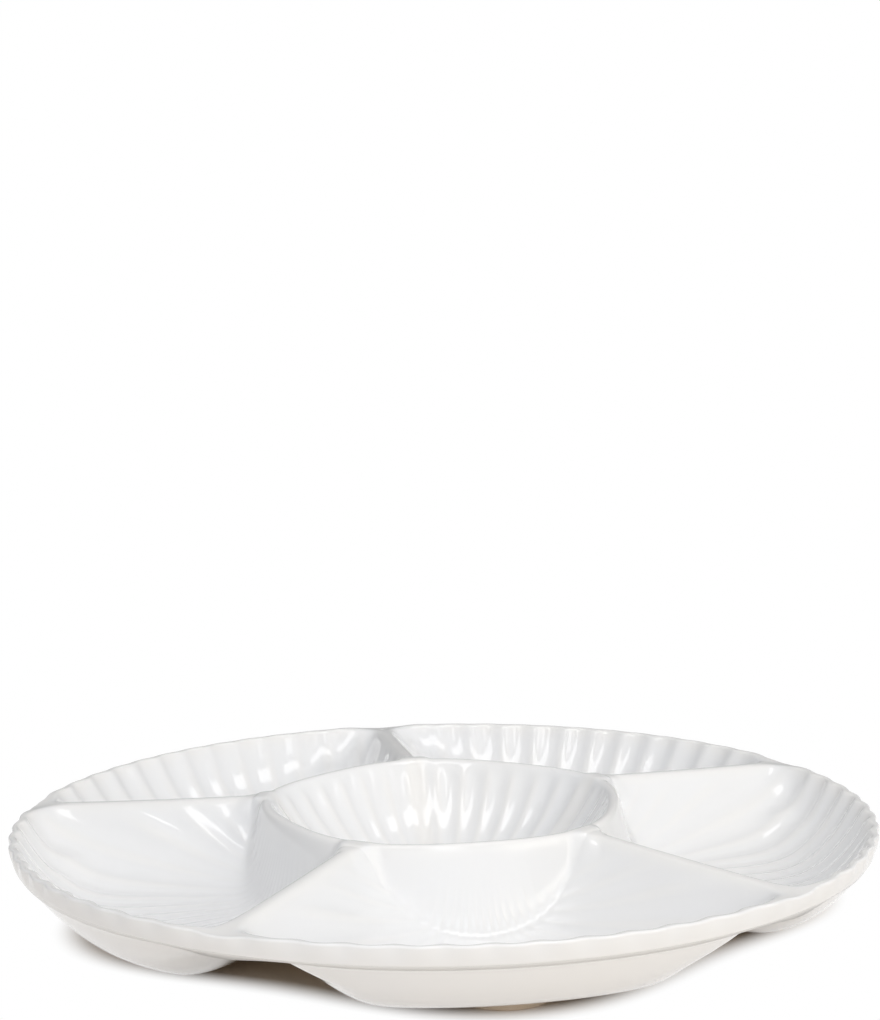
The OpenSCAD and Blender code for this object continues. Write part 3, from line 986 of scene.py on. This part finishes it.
class TRAY_OT_stage(bpy.types.Operator):
    """Sets up the floor, the soft light, the white surroundings and the camera."""

    bl_idname = "tray.stage"
    bl_label = "Stage"

    panels = {
        "key": Panel(4, 77, 1.18, (1.15, 0.30), 20, WHITE),
        "front": Panel(8, 20, 2.0, (2.2, 0.8), 0, WHITE),
        "strip": Panel(12, 46, 1.2, (0.18, 0.75), 0, WHITE),
        "side": Panel(75, 38, 1.4, (0.30, 0.20), 0, WHITE),
        "right": Panel(48, 29, 1.5, (0.9, 0.6), 0, WARM_LIGHT),
    }
    slant_turn = math.radians(30)

    # Floor: the middle, lobes and soft edges of its shaded part and of its painted brown shadow, in metres
    floor_size = 12
    floor_cells = 4
    shade_middle = (0.0036, 0.0204, 0.0)
    shade_lobe = 0.0105
    shade_edge = (0.152, 0.172)
    painted_shadow_edge = (0.135, 0.185)

    # Camera: its place around the tray, its distance in rim radii, its aim and its lens
    camera_turn = math.radians(-10.1)
    camera_lift = math.radians(14.27)
    camera_radii = 4.625
    camera_yaw = math.radians(0.032)
    camera_pitch = math.radians(-5.52)
    camera_roll = math.radians(-0.86)
    focal_pixels = 1941.0
    image_long_side = 1020.0
    sensor = 36.0
    clip = (0.01, 50)

    def execute(self, context):
        light = context.scene.stage_light
        self.add_floor(light)
        for name, panel in self.panels.items():
            self.add_panel(f"{name}_light", panel, getattr(light, name))
        self.add_surroundings(context.scene, light)
        self.add_camera(context.scene, context.scene.tray_sizes)
        context.scene.view_settings.view_transform = "Standard"
        return {"FINISHED"}

    def add_floor(self, light):
        """A wide pale floor that turns into the white background away from the tray; under it, painted brown
        shadow.
        """
        cells = self.floor_cells
        bpy.ops.object.select_all(action="DESELECT")
        bpy.ops.mesh.primitive_grid_add(x_subdivisions=cells, y_subdivisions=cells, size=self.floor_size)
        floor = bpy.context.object
        floor.name = "floor"
        material = bpy.data.materials.new("pale_floor")
        recipe = Recipe(material)
        place = recipe.node("ShaderNodeTexCoord", {}, {}, "Object")
        ends = {0: place, 1: self.shade_middle}
        offset = recipe.node("ShaderNodeVectorMath", {"operation": "SUBTRACT"}, ends, "Vector")
        away = recipe.node("ShaderNodeVectorMath", {"operation": "LENGTH"}, {0: offset}, "Value")
        split = recipe.node("ShaderNodeSeparateXYZ", {}, {"Vector": offset})
        x, y = recipe.outputs(split, "X", "Y")
        turn = recipe.node("ShaderNodeMath", {"operation": "ARCTAN2"}, {0: y, 1: x}, "Value")
        lobes = recipe.node("ShaderNodeMath", {"operation": "SINE"}, {0: turn * WELL_COUNT}, "Value")
        reach = away + lobes * self.shade_lobe
        outside = recipe.step(reach, *self.shade_edge)
        # Painted shadow: the floor's colour turns dark brown under and near the tray
        pale = recipe.step(reach, *self.painted_shadow_edge)
        tint = recipe.blend(pale, opaque(light.floor_painted_shadow), opaque(light.floor))
        seen = recipe.seen_by("Camera", "Glossy")
        matt = recipe.node("ShaderNodeBsdfDiffuse", {}, {"Color": tint}, "BSDF")
        glow = {"Color": opaque(WHITE), "Strength": 1.0}
        white = recipe.node("ShaderNodeEmission", {}, glow, "Emission")
        sockets = {0: outside * seen, 1: matt, 2: white}
        recipe.surface(recipe.node("ShaderNodeMixShader", {}, sockets, "Shader"))
        floor.data.materials.append(material)

    def add_panel(self, name, panel, strength):
        """A soft area light that faces the tray."""
        aside, up = math.radians(panel.aside), math.radians(panel.up)
        level = math.cos(up)
        towards = Vector((math.sin(aside) * level, -math.cos(aside) * level, math.sin(up)))
        place = Matrix.Rotation(self.camera_turn, 3, "Z") @ (towards * panel.distance)
        bpy.ops.object.select_all(action="DESELECT")
        bpy.ops.object.light_add(type="AREA", location=place)
        lamp = bpy.context.object
        lamp.name = name
        lamp.data.shape = "RECTANGLE"
        lamp.data.size, lamp.data.size_y = panel.size
        lamp.data.energy = strength
        lamp.data.color = panel.shade
        lamp.rotation_mode = "QUATERNION"
        roll = Quaternion((0, 0, 1), math.radians(panel.roll))
        lamp.rotation_quaternion = (-place).to_track_quat("-Z", "Y") @ roll

    def add_surroundings(self, scene, light):
        """A white background for the camera, and a light from all around that leans to the front right."""
        scene.world = bpy.data.worlds.new("white_surroundings")
        recipe = Recipe(scene.world)
        seen = recipe.seen_by("Camera")
        heading = recipe.node("ShaderNodeTexCoord", {}, {}, "Generated")
        front = Matrix.Rotation(self.camera_turn + self.slant_turn, 3, "Z") @ Vector((0, -1, 0))
        pair = {0: heading, 1: front}
        towards = recipe.node("ShaderNodeVectorMath", {"operation": "DOT_PRODUCT"}, pair, "Value")
        around = (towards * light.slant + 1.0) * light.ambient
        sockets = {
            "Color": recipe.blend(seen, opaque(COOL_LIGHT), opaque(WHITE)),
            "Strength": around + seen * (1.0 - around),
        }
        shade = recipe.node("ShaderNodeBackground", {}, sockets, "Background")
        recipe.node("ShaderNodeOutputWorld", {}, {"Surface": shade})

    def add_camera(self, scene, sizes):
        """The camera at the photograph's viewing angle."""
        lift, yaw, pitch, roll = self.camera_lift, self.camera_yaw, self.camera_pitch, self.camera_roll
        distance = self.camera_radii * sizes.tray_d / 2
        place = Vector((0, -math.cos(lift), math.sin(lift))) * distance
        level = Vector((math.cos(yaw), -math.sin(yaw), 0))
        ahead = Vector((math.sin(yaw) * math.cos(pitch), math.cos(yaw) * math.cos(pitch), math.sin(pitch)))
        upright = level.cross(ahead)
        right = level * math.cos(roll) + upright * math.sin(roll)
        up = upright * math.cos(roll) - level * math.sin(roll)
        turn = Matrix.Rotation(self.camera_turn, 4, "Z")
        axes = Matrix((right, up, -ahead)).transposed().to_4x4()
        middle = Matrix.Translation((0, 0, sizes.rim_h))
        bpy.ops.object.select_all(action="DESELECT")
        bpy.ops.object.camera_add()
        camera = bpy.context.object
        camera.name = "photo_camera"
        camera.matrix_world = middle @ turn @ Matrix.Translation(place) @ axes
        camera.data.sensor_fit = "AUTO"
        camera.data.sensor_width = self.sensor
        camera.data.lens = self.sensor * self.focal_pixels / self.image_long_side
        camera.data.clip_start, camera.data.clip_end = self.clip
        scene.camera = camera


class TRAY_PT_panel(bpy.types.Panel):
    """Lists the tray's pieces and sizes in the sidebar."""

    bl_label = "Chip and dip tray"
    bl_idname = "TRAY_PT_panel"
    bl_space_type = "VIEW_3D"
    bl_region_type = "UI"
    bl_category = "Tray"

    def draw(self, context):
        for operator in OPERATORS:
            self.layout.operator(operator.bl_idname)
        for name in GROUPS:
            group = getattr(context.scene, name)
            box = self.layout.box()
            for key in group.bl_rna.properties.keys():
                if key not in ("rna_type", "name"):
                    box.prop(group, key)


GROUPS = {"tray_sizes": TraySizes, "tray_finish": TrayFinish, "stage_light": StageLight}
OPERATORS = (
    TRAY_OT_chip_wells,
    TRAY_OT_dividers,
    TRAY_OT_dip_bowl,
    TRAY_OT_outer_rim,
    TRAY_OT_foot_pads,
    TRAY_OT_stage,
)


def register():
    """Registers the classes and puts the sizes on the scene."""
    for name, group in GROUPS.items():
        bpy.utils.register_class(group)
        setattr(bpy.types.Scene, name, bpy.props.PointerProperty(type=group))
    for item in (*OPERATORS, TRAY_PT_panel):
        bpy.utils.register_class(item)


def unregister():
    """Takes away what register added."""
    for item in (TRAY_PT_panel, *reversed(OPERATORS)):
        bpy.utils.unregister_class(item)
    for name, group in reversed(GROUPS.items()):
        delattr(bpy.types.Scene, name)
        bpy.utils.unregister_class(group)


def main():
    """Models all pieces and the stage."""
    register()
    bpy.ops.tray.chip_wells()
    bpy.ops.tray.dividers()
    bpy.ops.tray.dip_bowl()
    bpy.ops.tray.outer_rim()
    bpy.ops.tray.foot_pads()
    bpy.ops.tray.stage()
    bpy.context.view_layer.update()


if __name__ == "__main__":
    main()
